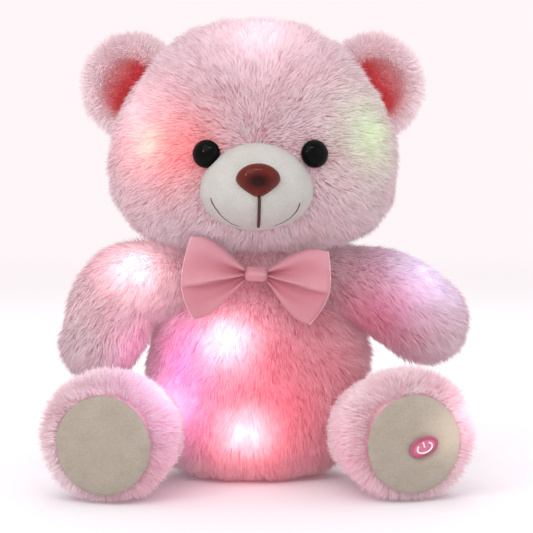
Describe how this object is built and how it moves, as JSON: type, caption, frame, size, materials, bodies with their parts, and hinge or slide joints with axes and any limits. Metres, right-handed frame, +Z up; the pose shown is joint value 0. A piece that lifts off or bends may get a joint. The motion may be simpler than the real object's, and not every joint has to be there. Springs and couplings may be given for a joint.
{
  "type": "plush night light",
  "caption": "Seated pink plush bear night light with lamps glowing under the pile, a bow tie, cream muzzle and soles, and a press switch in one foot.",
  "frame": {"origin": "on the floor, in the middle of the flat that the seat rests on", "axes": "+Z up, -Y the way the bear faces, +X towards the bear's own left"},
  "size_m": [0.239, 0.1678, 0.269],
  "materials": {
    "plush_fur": "long pile plush, dusty pink",
    "sole_cloth": "short pile plush, cream",
    "muzzle_cloth": "short pile plush, cream",
    "bow_satin": "soft satin, dusty pink",
    "patch_embroidery": "embroidered patch, deep pink and white",
    "hook_and_loop": "woven hook and loop tape",
    "nose_plastic": "polished dark brown",
    "eye_plastic": "polished black",
    "washer_plastic": "moulded, white",
    "lamp_lens": "clear moulded lens, lit",
    "wire_jacket": "soft jacket, white",
    "pack_plastic": "moulded, off-white",
    "board_laminate": "solder mask, green",
    "contact_steel": "plated spring steel",
    "cell_jacket": "shrink sleeve, grey"
  },
  "bodies": {
    "torso": {"torso": "plush_fur", "bow_wing_left": "bow_satin", "bow_wing_right": "bow_satin", "bow_knot": "bow_satin", "torso_harness": "wire_jacket", "lamp_chest": "lamp_lens", "lamp_belly": "lamp_lens", "loop_tape": "hook_and_loop", "battery_box": "pack_plastic", "battery_cover": "pack_plastic", "cover_screw": "contact_steel", "control_board": "board_laminate", "battery_cell_1": "cell_jacket", "battery_cell_2": "cell_jacket", "battery_cell_3": "cell_jacket", "contact_spring_1": "contact_steel", "contact_spring_2": "contact_steel", "contact_spring_3": "contact_steel", "contact_plate_1": "contact_steel", "contact_plate_2": "contact_steel", "contact_plate_3": "contact_steel"},
    "head": {"head": "plush_fur", "ear_left": "plush_fur", "ear_right": "plush_fur", "muzzle": "muzzle_cloth", "nose": "nose_plastic", "nose_washer": "washer_plastic", "eye_left": "eye_plastic", "eye_right": "eye_plastic", "eye_washer_left": "washer_plastic", "eye_washer_right": "washer_plastic", "head_harness": "wire_jacket", "lamp_crown": "lamp_lens", "lamp_temple_left": "lamp_lens", "lamp_temple_right": "lamp_lens"},
    "arm_left": {"arm_left": "plush_fur", "arm_left_harness": "wire_jacket", "lamp_arm_left": "lamp_lens"},
    "arm_right": {"arm_right": "plush_fur", "arm_right_harness": "wire_jacket", "lamp_arm_right": "lamp_lens"},
    "leg_left": {"leg_left": "plush_fur", "foot_pad_left": "sole_cloth", "leg_left_harness": "wire_jacket", "lamp_leg_left": "lamp_lens", "switch_housing": "pack_plastic", "switch_board": "board_laminate", "switch_spring": "contact_steel"},
    "leg_right": {"leg_right": "plush_fur", "foot_pad_right": "sole_cloth", "leg_right_harness": "wire_jacket", "lamp_leg_right": "lamp_lens"},
    "power_button": {"switch_button": "pack_plastic", "power_patch": "patch_embroidery"},
    "pocket_flap": {"pocket_flap": "plush_fur", "hook_tape": "hook_and_loop"}
  },
  "joints": [
    {"name": "head_turn", "type": "hinge", "parent": "torso", "child": "head", "pos_m": [0, 0, 0.15], "axis": [0, 0, 1], "range_deg": [-20, 20], "stiffness_Nm_per_rad": 1.5},
    {"name": "arm_left_swing", "type": "hinge", "parent": "torso", "child": "arm_left", "pos_m": [0.04997, -0.01199, 0.11744], "axis": [-1, 0, 0], "range_deg": [-15, 25], "stiffness_Nm_per_rad": 1.2},
    {"name": "arm_right_swing", "type": "hinge", "parent": "torso", "child": "arm_right", "pos_m": [-0.04997, -0.01199, 0.11744], "axis": [-1, 0, 0], "range_deg": [-15, 25], "stiffness_Nm_per_rad": 1.2},
    {"name": "leg_left_lift", "type": "hinge", "parent": "torso", "child": "leg_left", "pos_m": [0.04, -0.03002, 0.031], "axis": [-1, 0, 0], "range_deg": [0, 15], "stiffness_Nm_per_rad": 1.5},
    {"name": "leg_right_lift", "type": "hinge", "parent": "torso", "child": "leg_right", "pos_m": [-0.04, -0.03002, 0.031], "axis": [-1, 0, 0], "range_deg": [0, 15], "stiffness_Nm_per_rad": 1.5},
    {"name": "power_button_press", "type": "slide", "parent": "leg_left", "child": "power_button", "axis": [-0.2955, 0.9553, 0], "range_m": [0, 0.002], "stiffness_N_per_m": 400, "deforming": ["switch_spring"]},
    {"name": "pocket_flap_open", "type": "hinge", "parent": "torso", "child": "pocket_flap", "pos_m": [0, 0.0467, 0.102], "axis": [1, 0, 0], "range_deg": [0, 100]}
  ]
}
